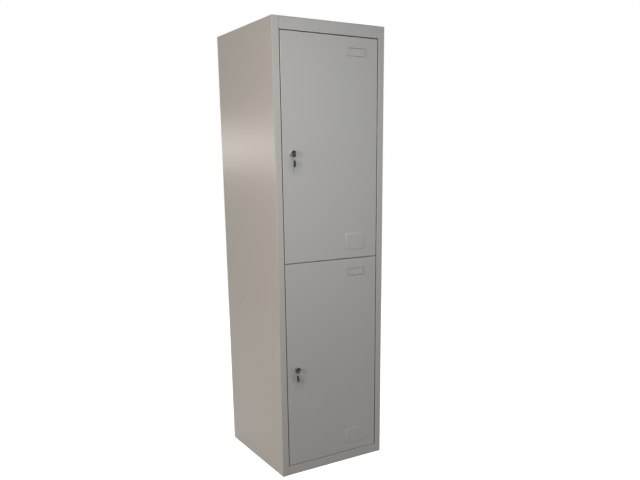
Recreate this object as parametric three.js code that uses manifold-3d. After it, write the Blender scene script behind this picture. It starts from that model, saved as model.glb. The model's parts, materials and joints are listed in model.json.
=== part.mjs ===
// Two-tier metal locker: a carcass of folded sheet steel, two nearly flush doors on concealed pivots at
// the right, and in each door a cam lock with its key in it and a spare key on a ring.
// Millimetres, +Z up, the front looks towards -Y and +X is to the right of someone who faces it.
// The origin is on the floor, in the middle of the footprint that the locker and its keys cover.

import * as THREE from "three";
import { mergeVertices } from "three/addons/utils/BufferGeometryUtils.js";
import Module from "manifold-3d";

const wasm = await Module();
wasm.setup();

// Overall size of the carcass.
const WIDTH = 500;
const DEPTH = 500;
const HEIGHT = 1800;

// Sheet metal and the joints between sheets.
const SHEET = 1;
const BEND_INSIDE = 0.8;
const BEND_STEPS = 3;
const SEAM = 0.2;
const FIT = 0.3;
const OVERRUN = 1;
const SAME_POINT = 0.001;

// Front frame.
const STILE = 29;
const TOP_RAIL = 45;
const PLINTH = 40;
const STOP_LIP = 12;

// Flanges that join the panels to each other.
const REAR_FLANGE = 15;
const END_FLANGE = 20;
const RAIL_FLANGE = 20;

// Doors: folded pans that close nearly flush with the frame.
const DOOR_GAP = 3;
const SILL_GAP = 2;
const DOOR_RECESS = 0.5;
const DOOR_DEPTH = 18;
const DOOR_LIP = 12;
const DOOR_BEND = 2;
const STOP_GAP = 4;
const STIFFENER_WIDTH = 70;
const STIFFENER_CROWN = 36;

// Pressed field and card holder, both this far from the hinged edge.
const FITTING_EDGE = 58;
const FIELD_WIDTH = 98;
const FIELD_HEIGHT = 74;
const FIELD_BOTTOM = 31;
const FIELD_RISE = 3.2;
const FIELD_SLOPE = 9;
const HOLDER_WIDTH = 88;
const HOLDER_HEIGHT = 34;
const HOLDER_TOP = 35;
const HOLDER_RISE = 2.6;
const HOLDER_SHEET = 0.8;
const HOLDER_BORDER = 5;

// Inside: rail between the doors, shelf, base and coat rods.
const MIDDLE_RAIL_HEIGHT = 40;
const MIDDLE_RAIL_DEPTH = 19;
const TRAY_FLANGE = 20;
const ROD = 16;
const ROD_WALL = 1.2;
const ROD_DROP = 60;
const CRADLE_WALL = 2;
const CRADLE_REACH = 14;
const CRADLE_LIFT = 6;
const CRADLE_PLATE_WIDTH = 34;
const CRADLE_PLATE_HEIGHT = 44;
const CRADLE_PLATE = 1.5;

// Concealed pivots on the hinged edge.
const PIVOT_INSET = 12;
const PIVOT_BACK = 7;
const PIN = 5;
const PIN_HEAD = 9;
const PIN_HEAD_HEIGHT = 2;
const PIN_CHAMFER = 0.8;
const PIN_REACH = 8;
const BUSH_WALL = 1.7;
const BUSH_FLANGE = 1;
const BUSH_FLANGE_THICK = 1.5;
const BUSH_LONG = 7;
const BUSH_PROUD = 0.4;
const PIVOT_PLATE = 1.6;
const PIVOT_PLATE_WIDTH = 22;
const PIVOT_NOSE = 6.5;

// Rubber buffers on the stop lip.
const BUFFER = 7;
const BUFFER_END = 60;

// Cam lock.
const LOCK_EDGE = 40;
const LOCK_BELOW_MIDDLE = 8;
const BARREL = 18;
const BARREL_FLAT = 16.2;
const BARREL_FLANGE = 24;
const BARREL_FLANGE_THICK = 3;
const BARREL_DOME = 1.2;
const PLUG = 13;
const PLUG_SQUARE = 7;
const NUT = 24;
const NUT_THICK = 5;
const CAM_THICK = 2;
const CAM_WIDE = 14;
const CAM_BOSS = 19;
const CAM_BITE = 9;
const SCREW_HEAD = 10.5;
const SCREW_HEAD_THICK = 2.4;
const SCREW_SHANK = 4;
const SCREW_LONG = 6;

// Keys: a flat blade in a moulded head, and the ring that carries the spare.
const HEAD_OFF_DOOR = 5;
const HEAD_LONG = 25;
const HEAD_WIDE = 23;
const HEAD_THICK = 3.2;
const HEAD_CHAMFER = 0.4;
const HEAD_CORNER = 7;
const HEAD_COLLAR = 12;
const HEAD_SHOULDER = 7;
const HOLE = 7.5;
const HOLE_FROM_TIP = 8.5;
const BLADE_LONG = 22;
const BLADE_WIDE = 7;
const BLADE_THICK = 1.8;
const BLADE_TIP = 2.4;
const SHOULDER_LONG = 1.2;
const SHOULDER_WIDE = 9;
const TANG_LONG = 9;
const TANG_WIDE = 6;
const CUT_DEPTH = 2;
const CUT_DEPTH_SHARES = [0.45, 1, 0.6, 0.25, 0.8];
const RING_RADIUS = 13.5;
const WIRE = 1.5;
const RING_SEAT = 0.4;
const LOWER_HANG = 1.2;

// Angles in degrees: how the keys stand in the picture.
const SPARE_YAW = 14;
const LOWER_KEY_TURN = 45;
const LOWER_RING_TILT = 12;

// Facets round a full turn.
const FINE_FACETS = 32;
const SMALL_FACETS = 20;
const KEY_STEPS = 5;
const WIRE_FACETS = 8;
const RING_FACETS = 36;

const radians = THREE.MathUtils.degToRad;

// Places that several pieces share.
const doorWidth = WIDTH - 2 * STILE - 2 * DOOR_GAP;
const doorHeight = (HEIGHT - TOP_RAIL - PLINTH - SILL_GAP - 2 * DOOR_GAP) / 2;
const lowerDoorBottom = PLINTH + SILL_GAP;
const upperDoorBottom = lowerDoorBottom + doorHeight + DOOR_GAP;
const openingTop = HEIGHT - TOP_RAIL;
const gapMiddle = upperDoorBottom - DOOR_GAP / 2;
const stopFront = DOOR_RECESS + DOOR_DEPTH + STOP_GAP;
const stopBack = stopFront + SHEET;
const insideHalf = WIDTH / 2 - SHEET - SEAM;
const insideRear = DEPTH - 2 * SHEET - 2 * SEAM;
const openingHalf = WIDTH / 2 - STILE;
const underTop = HEIGHT - SHEET - SEAM;
const bend = BEND_INSIDE + SHEET / 2;
const pivotX = openingHalf - PIVOT_INSET;
const pivotY = DOOR_RECESS + PIVOT_BACK;
const bushOuter = PIN + 2 * FIT + 2 * BUSH_WALL;
const lockX = LOCK_EDGE - doorWidth / 2;
const lockZ = doorHeight / 2 - LOCK_BELOW_MIDDLE;
const barrelEnd = DOOR_DEPTH + STOP_GAP + SHEET;
const camFront = barrelEnd + 2 * FIT;
const camReach = LOCK_EDGE + DOOR_GAP - STOP_LIP + CAM_BITE;
const holeAlong = HEAD_LONG - HOLE_FROM_TIP;
const wireDrop = HOLE / 2 - WIRE / 2 - RING_SEAT;

// The keys stand out furthest, so they set how far the front plane lies from the origin.
const spareReach = HEAD_OFF_DOOR + holeAlong + (HEAD_WIDE / 2) * Math.cos(radians(SPARE_YAW))
  + (HEAD_THICK / 2 - HEAD_CHAMFER) * Math.sin(radians(SPARE_YAW));
const keyReach = Math.max(spareReach, HEAD_OFF_DOOR + HEAD_LONG) - DOOR_RECESS;
const frontY = -(DEPTH - keyReach) / 2;

// Materials.
const paint = { color: 0xa3a3a1, roughness: 0.5, metalness: 0.1 };
const paintInside = { color: 0x9b9b99, roughness: 0.55, metalness: 0.1 };
const chrome = { color: 0xd8d8d6, roughness: 0.15, metalness: 1 };
const steel = { color: 0xb4b4b0, roughness: 0.35, metalness: 1 };
const zinc = { color: 0xa9aaa6, roughness: 0.4, metalness: 1 };
const blackPlastic = { color: 0x17171a, roughness: 0.5, metalness: 0 };
const nylon = { color: 0xe4e2da, roughness: 0.6, metalness: 0 };
const rubber = { color: 0x202020, roughness: 0.85, metalness: 0 };

// Axes of a profile: its own x and y, and the way that it is run.
const axisX = new THREE.Vector3(1, 0, 0);
const axisY = new THREE.Vector3(0, 1, 0);
const axisZ = new THREE.Vector3(0, 0, 1);
const sideways = new THREE.Matrix4().makeBasis(axisY, axisZ, axisX);
const frontways = new THREE.Matrix4().makeBasis(axisX, axisZ, axisY.clone().negate());

// Solids and back: joins and cuts work on closed solids with shared vertices.
function solidOf(geometry) {
  const bare = geometry.clone();
  bare.deleteAttribute("normal");
  bare.deleteAttribute("uv");
  const merged = mergeVertices(bare);
  return new wasm.Manifold(new wasm.Mesh({
    numProp: 3,
    vertProperties: merged.attributes.position.array,
    triVerts: new Uint32Array(merged.index.array),
  }));
}

function geometryOf(solid) {
  const mesh = solid.getMesh();
  const geometry = new THREE.BufferGeometry();
  geometry.setAttribute("position", new THREE.BufferAttribute(new Float32Array(mesh.vertProperties), 3));
  geometry.setIndex(new THREE.BufferAttribute(new Uint32Array(mesh.triVerts), 1));
  const flat = geometry.toNonIndexed();
  flat.computeVertexNormals();
  return flat;
}

function join(...geometries) {
  return geometryOf(geometries.map(solidOf).reduce((sum, next) => sum.add(next)));
}

function cut(geometry, ...tools) {
  return geometryOf(tools.map(solidOf).reduce((rest, tool) => rest.subtract(tool), solidOf(geometry)));
}

function common(first, second) {
  return geometryOf(solidOf(first).intersect(solidOf(second)));
}

// Block between two corners.
function block(x0, x1, y0, y1, z0, z1) {
  const geometry = new THREE.BoxGeometry(x1 - x0, y1 - y0, z1 - z0);
  return geometry.translate((x0 + x1) / 2, (y0 + y1) / 2, (z0 + z1) / 2);
}

// Outline as plain points, anticlockwise and without the doubled ones where arcs and lines meet.
function plain(shape, facets) {
  const distinct = (points) => points.filter(
    (point, i) => point.distanceTo(points[(i + 1) % points.length]) > SAME_POINT,
  );
  const drawn = shape.extractPoints(facets);
  if (THREE.ShapeUtils.isClockWise(drawn.shape)) drawn.shape.reverse();
  const outline = new THREE.Shape(distinct(drawn.shape));
  outline.holes = drawn.holes.map((hole) => new THREE.Path(distinct(hole)));
  return outline;
}

// Profiles run up, from side to side, or from front to back.
function run(shape, length, facets) {
  return new THREE.ExtrudeGeometry(plain(shape, facets), { depth: length, bevelEnabled: false });
}

function runUp(shape, bottom, top) {
  return run(shape, top - bottom, SMALL_FACETS / 2).translate(0, 0, bottom);
}

function runAcross(shape, left, right) {
  return run(shape, right - left, SMALL_FACETS / 4).applyMatrix4(sideways).translate(left, 0, 0);
}

function runBack(shape, front, back) {
  return run(shape, back - front, FINE_FACETS / 2).applyMatrix4(frontways).translate(0, back, 0);
}

// Revolved pieces: profile points are radius and height, closed on the axis or on themselves.
function turned(profile, facets) {
  const points = profile.map(([radius, along]) => new THREE.Vector2(radius, along));
  return new THREE.LatheGeometry(points, facets);
}

function bar(diameter, from, to, facets = SMALL_FACETS) {
  return turned([[0, from], [diameter / 2, from], [diameter / 2, to], [0, to]], facets);
}

function upright(geometry) {
  return geometry.rotateX(Math.PI / 2);
}

// Folded sheet: the outline of a strip with round bends along the middle line of its section.
function foldedStrip(corners) {
  const line = corners.map(([x, y]) => new THREE.Vector2(x, y));
  const left = [];
  const right = [];
  const place = (centre, spoke, reach, side) => {
    left.push(centre.clone().addScaledVector(spoke, reach - side * SHEET / 2));
    right.push(centre.clone().addScaledVector(spoke, reach + side * SHEET / 2));
  };
  line.forEach((point, i) => {
    const before = line[i - 1];
    const after = line[i + 1];
    if (!before || !after) {
      const along = (after ?? point).clone().sub(before ?? point).normalize();
      place(point, new THREE.Vector2(along.y, -along.x), 0, 1);
      return;
    }
    const arriving = point.clone().sub(before).normalize();
    const leaving = after.clone().sub(point).normalize();
    const turn = Math.atan2(arriving.cross(leaving), arriving.dot(leaving));
    const side = Math.sign(turn);
    const outward = new THREE.Vector2(arriving.y, -arriving.x).multiplyScalar(side);
    const centre = point.clone()
      .addScaledVector(arriving, -bend * Math.tan(Math.abs(turn) / 2))
      .addScaledVector(outward, -bend);
    for (let k = 0; k <= BEND_STEPS; k += 1) {
      const spoke = outward.clone().rotateAround(new THREE.Vector2(), (turn * k) / BEND_STEPS);
      place(centre, spoke, bend, side);
    }
  });
  return new THREE.Shape([...right, ...left.reverse()]);
}

// Skin through matching rings of points, capped at both ends.
function skinned(rings) {
  const count = rings[0].length;
  const index = [];
  for (let ring = 0; ring + 1 < rings.length; ring += 1) {
    for (let i = 0; i < count; i += 1) {
      const a = ring * count + i;
      const b = ring * count + ((i + 1) % count);
      index.push(a, b, b + count, a, b + count, a + count);
    }
  }
  const last = (rings.length - 1) * count;
  for (let i = 1; i + 1 < count; i += 1) {
    index.push(0, i + 1, i, last, last + i, last + i + 1);
  }
  const geometry = new THREE.BufferGeometry().setFromPoints(rings.flat());
  geometry.setIndex(index);
  return geometry;
}

function rectangle(width, low, high, y) {
  return [
    new THREE.Vector3(-width / 2, y, low),
    new THREE.Vector3(-width / 2, y, high),
    new THREE.Vector3(width / 2, y, high),
    new THREE.Vector3(width / 2, y, low),
  ];
}

// Block with its front edges rounded, from the front face back.
function pillow(width, low, high, front, back, radius) {
  const rings = [];
  for (let k = 0; k <= BEND_STEPS; k += 1) {
    const angle = (k / BEND_STEPS) * (Math.PI / 2);
    const inset = radius * (1 - Math.sin(angle));
    const y = front + radius * (1 - Math.cos(angle));
    rings.push(rectangle(width - 2 * inset, low + inset, high - inset, y));
  }
  rings.push(rectangle(width, low, high, back));
  return skinned(rings);
}

// Folded tray: face at the front, flanges back from its four edges, and a lip in from each flange if asked.
function tray(width, height, depth, lip) {
  const outer = pillow(width, 0, height, 0, depth, DOOR_BEND);
  const floorEnd = lip > 0 ? depth - SHEET : depth + OVERRUN;
  const inner = pillow(width - 2 * SHEET, SHEET, height - SHEET, SHEET, floorEnd, DOOR_BEND - SHEET);
  if (!(lip > 0)) return cut(outer, inner);
  const window = block(lip - width / 2, width / 2 - lip, SHEET + DOOR_BEND, depth + OVERRUN, lip, height - lip);
  return cut(outer, inner, window);
}

function lyingTray(width, length, flange) {
  return tray(width, length, flange, 0).rotateX(-Math.PI / 2);
}

// Scene: one group for each body, placed where it turns.
const locker = new THREE.Group();
const cabinet = new THREE.Group();
cabinet.position.set(0, frontY, 0);
locker.add(cabinet);

function piece(group, name, geometry, look) {
  const mesh = new THREE.Mesh(geometry, new THREE.MeshStandardMaterial(look));
  mesh.name = name;
  group.add(mesh);
  return mesh;
}

// Side panel: rear flange, side wall, stile, return and stop lip in one folded section, with a flange at
// its top and bottom.
function sidePanel(side) {
  const wall = side * (WIDTH - SHEET) / 2;
  const edge = side * (openingHalf + SHEET / 2);
  const section = foldedStrip([
    [side * (WIDTH / 2 - REAR_FLANGE), DEPTH - SHEET / 2],
    [wall, DEPTH - SHEET / 2],
    [wall, SHEET / 2],
    [edge, SHEET / 2],
    [edge, stopBack - SHEET / 2],
    [side * (openingHalf - STOP_LIP), stopBack - SHEET / 2],
  ]);
  const flangeInner = side * (WIDTH / 2 - END_FLANGE);
  const flange = (bottom) => block(
    Math.min(wall, flangeInner), Math.max(wall, flangeInner),
    SHEET / 2, DEPTH - SHEET - BEND_INSIDE - SEAM, bottom, bottom + SHEET,
  );
  return join(runUp(section, 0, underTop), flange(0), flange(underTop - SHEET));
}

piece(cabinet, "left_side_panel", sidePanel(-1), paint);
piece(cabinet, "right_side_panel", sidePanel(1), paint);

// Back panel, inside the rear flanges and between the end flanges.
piece(cabinet, "back_panel", block(
  -insideHalf, insideHalf, insideRear, insideRear + SHEET,
  SHEET + SEAM, underTop - SHEET - SEAM,
), paint);

// Top panel, over the side panels, with a flange down between their rear flanges.
const topFold = foldedStrip([
  [0, HEIGHT - SHEET / 2],
  [DEPTH - SHEET / 2, HEIGHT - SHEET / 2],
  [DEPTH - SHEET / 2, HEIGHT - REAR_FLANGE],
]);
const topFoldHalf = WIDTH / 2 - REAR_FLANGE - SEAM;
piece(cabinet, "top_panel", join(
  runAcross(topFold, -topFoldHalf, topFoldHalf),
  block(-WIDTH / 2, WIDTH / 2, 0, DEPTH, HEIGHT - SHEET, HEIGHT),
), paint);

// Rails: flange, face, return under the opening's edge, and stop lip, notched round the side panels' lips.
const railHalf = openingHalf - SEAM;

function frontRail(section, low, high) {
  const inner = openingHalf - STOP_LIP - SEAM;
  const outer = openingHalf + OVERRUN;
  const front = stopFront - SEAM;
  const back = stopBack + OVERRUN;
  return cut(
    runAcross(section, -railHalf, railHalf),
    block(-outer, -inner, front, back, low - OVERRUN, high + OVERRUN),
    block(inner, outer, front, back, low - OVERRUN, high + OVERRUN),
    upright(bar(PIN + 2 * SEAM, low - OVERRUN, high + OVERRUN)).translate(pivotX, pivotY, 0),
  );
}

const topRailSection = foldedStrip([
  [RAIL_FLANGE, underTop - SHEET / 2],
  [SHEET / 2, underTop - SHEET / 2],
  [SHEET / 2, openingTop + SHEET / 2],
  [stopBack - SHEET / 2, openingTop + SHEET / 2],
  [stopBack - SHEET / 2, openingTop - STOP_LIP],
]);
piece(cabinet, "top_rail", frontRail(topRailSection, openingTop - STOP_LIP, openingTop + SHEET), paint);

const bottomRailSection = foldedStrip([
  [RAIL_FLANGE, SHEET / 2],
  [SHEET / 2, SHEET / 2],
  [SHEET / 2, PLINTH - SHEET / 2],
  [stopBack - SHEET / 2, PLINTH - SHEET / 2],
  [stopBack - SHEET / 2, PLINTH + STOP_LIP],
]);
piece(cabinet, "bottom_rail", frontRail(bottomRailSection, PLINTH - SHEET, PLINTH + STOP_LIP), paint);

// Middle rail: a channel behind the gap between the doors, open to the back.
const behindStops = stopBack + SEAM;
const middleLow = gapMiddle - MIDDLE_RAIL_HEIGHT / 2;
const middleHigh = gapMiddle + MIDDLE_RAIL_HEIGHT / 2;
const middleRailSection = foldedStrip([
  [behindStops + MIDDLE_RAIL_DEPTH, middleLow + SHEET / 2],
  [behindStops + SHEET / 2, middleLow + SHEET / 2],
  [behindStops + SHEET / 2, middleHigh - SHEET / 2],
  [behindStops + MIDDLE_RAIL_DEPTH, middleHigh - SHEET / 2],
]);
piece(cabinet, "middle_rail", runAcross(middleRailSection, -insideHalf, insideHalf), paint);

// Shelf behind the middle rail and base behind the bottom rail, each a tray with its flanges down.
const shelfFront = behindStops + MIDDLE_RAIL_DEPTH + SEAM;
const shelf = piece(cabinet, "compartment_shelf",
  lyingTray(2 * insideHalf, insideRear - SEAM - shelfFront, TRAY_FLANGE), paintInside);
shelf.position.set(0, shelfFront, middleHigh);

const base = piece(cabinet, "base_panel",
  lyingTray(2 * insideHalf, insideRear - SEAM - behindStops, TRAY_FLANGE), paintInside);
base.position.set(0, behindStops, PLINTH);

// Coat rod in open-topped cradles on the side walls, one in each compartment.
const cradleBore = ROD + 2 * FIT;
const cradleOuter = cradleBore + 2 * CRADLE_WALL;

function cradle() {
  const hook = new THREE.Shape();
  hook.moveTo(-cradleOuter / 2, CRADLE_LIFT);
  hook.absarc(0, 0, cradleOuter / 2, Math.PI, 2 * Math.PI, false);
  hook.lineTo(cradleOuter / 2, CRADLE_LIFT);
  hook.lineTo(cradleBore / 2, CRADLE_LIFT);
  hook.absarc(0, 0, cradleBore / 2, 2 * Math.PI, Math.PI, true);
  hook.lineTo(-cradleBore / 2, CRADLE_LIFT);
  const plate = block(
    0, CRADLE_PLATE, -CRADLE_PLATE_WIDTH / 2, CRADLE_PLATE_WIDTH / 2,
    -CRADLE_PLATE_HEIGHT / 2, CRADLE_PLATE_HEIGHT / 2,
  );
  return join(plate, runAcross(hook, CRADLE_PLATE / 2, CRADLE_PLATE + CRADLE_REACH));
}

const rodY = (behindStops + insideRear) / 2;
const rodHalf = insideHalf - CRADLE_PLATE - SEAM;

function coatRod(level, ceiling) {
  const height = ceiling - ROD_DROP;
  const inner = ROD / 2 - ROD_WALL;
  const tube = turned([
    [inner, -rodHalf], [ROD / 2, -rodHalf], [ROD / 2, rodHalf], [inner, rodHalf], [inner, -rodHalf],
  ], FINE_FACETS);
  const rod = piece(cabinet, level + "_coat_rod", tube.rotateZ(-Math.PI / 2), chrome);
  rod.position.set(0, rodY, height);
  const left = piece(cabinet, level + "_left_cradle", cradle(), zinc);
  left.position.set(-insideHalf, rodY, height);
  const right = piece(cabinet, level + "_right_cradle", cradle(), zinc);
  right.rotation.z = Math.PI;
  right.position.set(insideHalf, rodY, height);
}

coatRod("upper", underTop - SHEET);
coatRod("lower", middleLow);

// Pivot pins and the plate that carries the middle one in the gap between the doors.
const lowerDoorTop = lowerDoorBottom + doorHeight;
const upperDoorTop = upperDoorBottom + doorHeight;

function pivotPin(name, profile) {
  const pin = piece(cabinet, name, upright(turned(profile, SMALL_FACETS)), steel);
  pin.position.set(pivotX, pivotY, 0);
}

const topPinSeat = openingTop + SHEET + SEAM;
pivotPin("top_pivot_pin", [
  [0, upperDoorTop - PIN_REACH],
  [PIN / 2 - PIN_CHAMFER, upperDoorTop - PIN_REACH],
  [PIN / 2, upperDoorTop - PIN_REACH + PIN_CHAMFER],
  [PIN / 2, topPinSeat],
  [PIN_HEAD / 2, topPinSeat],
  [PIN_HEAD / 2, topPinSeat + PIN_HEAD_HEIGHT - PIN_CHAMFER],
  [PIN_HEAD / 2 - PIN_CHAMFER, topPinSeat + PIN_HEAD_HEIGHT],
  [0, topPinSeat + PIN_HEAD_HEIGHT],
]);
const underSill = PLINTH - SHEET - SEAM;
const collarTop = lowerDoorBottom - BUSH_PROUD - FIT;
pivotPin("bottom_pivot_pin", [
  [0, underSill - PIN_HEAD_HEIGHT],
  [PIN_HEAD / 2 - PIN_CHAMFER, underSill - PIN_HEAD_HEIGHT],
  [PIN_HEAD / 2, underSill - PIN_HEAD_HEIGHT + PIN_CHAMFER],
  [PIN_HEAD / 2, underSill],
  [PIN / 2, underSill],
  [PIN / 2, PLINTH + SEAM],
  [PIN_HEAD / 2, PLINTH + SEAM],
  [PIN_HEAD / 2, collarTop],
  [PIN / 2, collarTop],
  [PIN / 2, lowerDoorBottom + PIN_REACH - PIN_CHAMFER],
  [PIN / 2 - PIN_CHAMFER, lowerDoorBottom + PIN_REACH],
  [0, lowerDoorBottom + PIN_REACH],
]);
pivotPin("middle_pivot_pin", [
  [0, lowerDoorTop - PIN_REACH],
  [PIN / 2 - PIN_CHAMFER, lowerDoorTop - PIN_REACH],
  [PIN / 2, lowerDoorTop - PIN_REACH + PIN_CHAMFER],
  [PIN / 2, upperDoorBottom + PIN_REACH - PIN_CHAMFER],
  [PIN / 2 - PIN_CHAMFER, upperDoorBottom + PIN_REACH],
  [0, upperDoorBottom + PIN_REACH],
]);

// The plate's arm passes inside the hinge side's stop lip, and its round nose carries the pin.
const armRight = openingHalf - STOP_LIP - 2 * SEAM;
const noseBack = stopFront - 4 * SEAM;
const plateShape = new THREE.Shape();
plateShape.moveTo(armRight - PIVOT_PLATE_WIDTH, stopBack);
plateShape.lineTo(armRight, stopBack);
plateShape.lineTo(armRight, noseBack);
plateShape.lineTo(pivotX + PIVOT_NOSE, noseBack);
plateShape.lineTo(pivotX + PIVOT_NOSE, pivotY);
plateShape.absarc(pivotX, pivotY, PIVOT_NOSE, 0, -Math.PI / 2, true);
plateShape.lineTo(pivotX - PIVOT_NOSE / 2, pivotY - PIVOT_NOSE);
plateShape.lineTo(armRight - PIVOT_PLATE_WIDTH, noseBack);
const platePinHole = new THREE.Path();
platePinHole.absarc(pivotX, pivotY, PIN / 2 + SEAM, 0, 2 * Math.PI, true);
plateShape.holes.push(platePinHole);
piece(cabinet, "middle_pivot_plate",
  runUp(plateShape, gapMiddle - PIVOT_PLATE / 2, gapMiddle + PIVOT_PLATE / 2), steel);

// Buffers on the lock side's stop lip, a little short of each door's back.
const bufferX = -(openingHalf - DOOR_GAP / 2 - STOP_LIP / 2 + DOOR_GAP / 2);
const bufferLong = STOP_GAP - SEAM - FIT;

function buffer(name, height) {
  const geometry = turned([
    [0, 0],
    [BUFFER / 2 - SEAM, 0],
    [BUFFER / 2, SEAM],
    [BUFFER / 2, bufferLong],
    [0, bufferLong],
  ], SMALL_FACETS);
  const mesh = piece(cabinet, name, geometry, rubber);
  mesh.position.set(bufferX, stopFront - SEAM - bufferLong, height);
}

buffer("upper_door_top_buffer", upperDoorTop - BUFFER_END);
buffer("upper_door_bottom_buffer", upperDoorBottom + BUFFER_END);
buffer("lower_door_top_buffer", lowerDoorTop - BUFFER_END);
buffer("lower_door_bottom_buffer", lowerDoorBottom + BUFFER_END);

// Door skin: a lipped tray with a pressed field at the lower hinged corner, a hole for the barrel with its
// two flats, and a hole for a bush in its top and bottom flange.
const fieldX = doorWidth / 2 - FITTING_EDGE - FIELD_WIDTH / 2;

function field(inset, front, back) {
  const base = rectangle(
    FIELD_WIDTH - 2 * inset, FIELD_BOTTOM + inset, FIELD_BOTTOM + FIELD_HEIGHT - inset, back);
  const foot = rectangle(
    FIELD_WIDTH - 2 * inset, FIELD_BOTTOM + inset, FIELD_BOTTOM + FIELD_HEIGHT - inset, front + FIELD_RISE);
  const rise = inset + FIELD_SLOPE;
  const crown = rectangle(
    FIELD_WIDTH - 2 * rise, FIELD_BOTTOM + rise, FIELD_BOTTOM + FIELD_HEIGHT - rise, front);
  return skinned([crown, foot, base]).translate(fieldX, 0, 0);
}

function barrelBody(diameter, flat, from, to) {
  return common(
    bar(diameter, from, to, FINE_FACETS),
    block(-diameter, diameter, from - OVERRUN, to + OVERRUN, -flat / 2, flat / 2),
  );
}

function doorSkin() {
  const bushHole = upright(bar(bushOuter + 2 * SEAM, -SHEET - SEAM, SHEET + SEAM));
  return cut(
    join(tray(doorWidth, doorHeight, DOOR_DEPTH, DOOR_LIP), field(0, -FIELD_RISE, SHEET / 2)),
    field(SHEET, SHEET - FIELD_RISE, SHEET + OVERRUN),
    barrelBody(BARREL + 2 * FIT, BARREL_FLAT + 2 * FIT, -OVERRUN, SHEET + OVERRUN).translate(lockX, 0, lockZ),
    bushHole.clone().translate(pivotX, PIVOT_BACK, 0),
    bushHole.clone().translate(pivotX, PIVOT_BACK, doorHeight),
  );
}

// Stiffener: a hat section between the skin and the lips, from flange to flange.
const hatFront = SHEET + SEAM + SHEET / 2;
const hatBack = DOOR_DEPTH - SHEET - SEAM - SHEET / 2;

function stiffener() {
  const section = foldedStrip([
    [-STIFFENER_WIDTH / 2, hatFront],
    [-STIFFENER_CROWN / 2, hatFront],
    [-STIFFENER_CROWN / 2, hatBack],
    [STIFFENER_CROWN / 2, hatBack],
    [STIFFENER_CROWN / 2, hatFront],
    [STIFFENER_WIDTH / 2, hatFront],
  ]);
  return runUp(section, DOOR_BEND + SEAM, doorHeight - DOOR_BEND - SEAM);
}

// Card holder: a shallow frame with a window, open along the top for the card.
function cardHolder() {
  const half = HOLDER_WIDTH / 2;
  const shell = block(-half, half, -HOLDER_RISE, -SEAM, 0, HOLDER_HEIGHT);
  const pocket = block(
    HOLDER_SHEET - half, half - HOLDER_SHEET, HOLDER_SHEET - HOLDER_RISE, OVERRUN,
    HOLDER_SHEET, HOLDER_HEIGHT + OVERRUN,
  );
  const window = block(
    HOLDER_BORDER - half, half - HOLDER_BORDER, -HOLDER_RISE - OVERRUN, OVERRUN,
    HOLDER_BORDER, HOLDER_HEIGHT - HOLDER_BORDER,
  );
  return cut(shell, pocket, window);
}

// Bush: a flanged sleeve, its flange inside the door and its end a little proud of the door's edge.
function bush() {
  const bore = PIN / 2 + FIT;
  const flange = bushOuter / 2 + BUSH_FLANGE;
  const seat = SHEET + SEAM;
  return upright(turned([
    [bore, -BUSH_PROUD],
    [bushOuter / 2, -BUSH_PROUD],
    [bushOuter / 2, seat],
    [flange, seat],
    [flange, seat + BUSH_FLANGE_THICK],
    [bushOuter / 2, seat + BUSH_FLANGE_THICK],
    [bushOuter / 2, BUSH_LONG],
    [bore, BUSH_LONG],
    [bore, -BUSH_PROUD],
  ], SMALL_FACETS));
}

// Barrel: a domed flange on the door's face and a body with two flats through it.
function barrel() {
  const bore = bar(PLUG + 2 * FIT, -BARREL_FLANGE_THICK - OVERRUN - SEAM, barrelEnd + OVERRUN, FINE_FACETS);
  const front = -SEAM - BARREL_FLANGE_THICK;
  const rim = (BARREL_FLANGE + PLUG) / 4;
  const flange = turned([
    [0, front],
    [rim, front],
    [BARREL_FLANGE / 2 - BARREL_DOME, front + BARREL_DOME / 3],
    [BARREL_FLANGE / 2, front + BARREL_DOME],
    [BARREL_FLANGE / 2, -SEAM],
    [0, -SEAM],
  ], FINE_FACETS);
  return cut(join(flange, barrelBody(BARREL, BARREL_FLAT, -SEAM - BARREL_FLANGE_THICK / 2, barrelEnd)), bore);
}

function nut() {
  const hexagon = new THREE.Shape();
  const corner = NUT / Math.sqrt(3);
  for (let k = 0; k < 6; k += 1) {
    const angle = (k * Math.PI) / 3;
    hexagon[k ? "lineTo" : "moveTo"](corner * Math.cos(angle), corner * Math.sin(angle));
  }
  const hole = new THREE.Path();
  hole.absarc(0, 0, BARREL / 2 + FIT, 0, 2 * Math.PI, true);
  hexagon.holes.push(hole);
  return runBack(hexagon, SHEET + SEAM, SHEET + SEAM + NUT_THICK);
}

// Plug: turns in the barrel, with the keyway in front, and the square and the screw's hole behind.
const plugFront = -SEAM - BARREL_FLANGE_THICK;
const plugShoulder = camFront - FIT;
const plugEnd = camFront + CAM_THICK - SEAM;
const bladeEnd = BLADE_LONG - HEAD_OFF_DOOR;

function plug() {
  const half = PLUG_SQUARE / 2;
  const wide = BLADE_WIDE / 2 + FIT;
  const thin = BLADE_THICK / 2 + FIT;
  return cut(
    join(
      bar(PLUG, plugFront, plugShoulder, FINE_FACETS),
      block(-half, half, plugShoulder - OVERRUN, plugEnd, -half, half),
    ),
    block(-thin, thin, plugFront - OVERRUN, bladeEnd + FIT, -wide, wide),
    bar(SCREW_SHANK + 2 * SEAM, plugEnd + SEAM + FIT - SCREW_LONG, plugEnd + OVERRUN),
  );
}

function cam() {
  const arm = new THREE.Shape();
  const half = CAM_WIDE / 2;
  arm.moveTo(-half, 0);
  arm.lineTo(half, 0);
  arm.lineTo(half, camReach - half);
  arm.absarc(0, camReach - half, half, 0, Math.PI, false);
  const square = PLUG_SQUARE / 2 + FIT;
  return cut(
    join(
      runBack(arm, camFront, camFront + CAM_THICK),
      bar(CAM_BOSS, camFront, camFront + CAM_THICK, FINE_FACETS),
    ),
    block(-square, square, camFront - OVERRUN, camFront + CAM_THICK + OVERRUN, -square, square),
  );
}

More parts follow.
